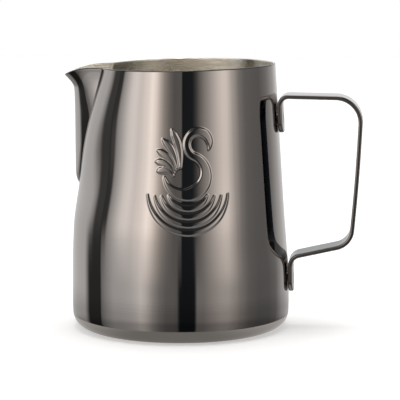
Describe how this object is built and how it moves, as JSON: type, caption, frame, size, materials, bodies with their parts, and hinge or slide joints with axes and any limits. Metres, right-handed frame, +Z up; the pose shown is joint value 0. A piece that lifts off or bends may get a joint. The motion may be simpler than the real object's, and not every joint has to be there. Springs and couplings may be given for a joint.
{
  "type": "milk frothing pitcher",
  "caption": "Steel milk frothing pitcher with a pressed pouring spout and a welded strap handle, dark mirror coating outside and brushed steel inside.",
  "frame": {"origin": "centre of the flat base, on the surface that the pitcher stands on", "axes": "+Z up, +X towards the handle, -X towards the spout, +Y across"},
  "size_m": [0.1075, 0.0788, 0.0958],
  "materials": {
    "jug_metal": "dark warm grey mirror coating outside, bare brushed steel inside",
    "strap_metal": "dark warm grey satin-bright coating",
    "weld_metal": "coated steel with a matt electrode mark"
  },
  "bodies": {
    "root": {"pitcher_body": "jug_metal", "handle_strap": "strap_metal", "upper_weld_nugget": "weld_metal", "lower_weld_nugget": "weld_metal"}
  },
  "joints": []
}
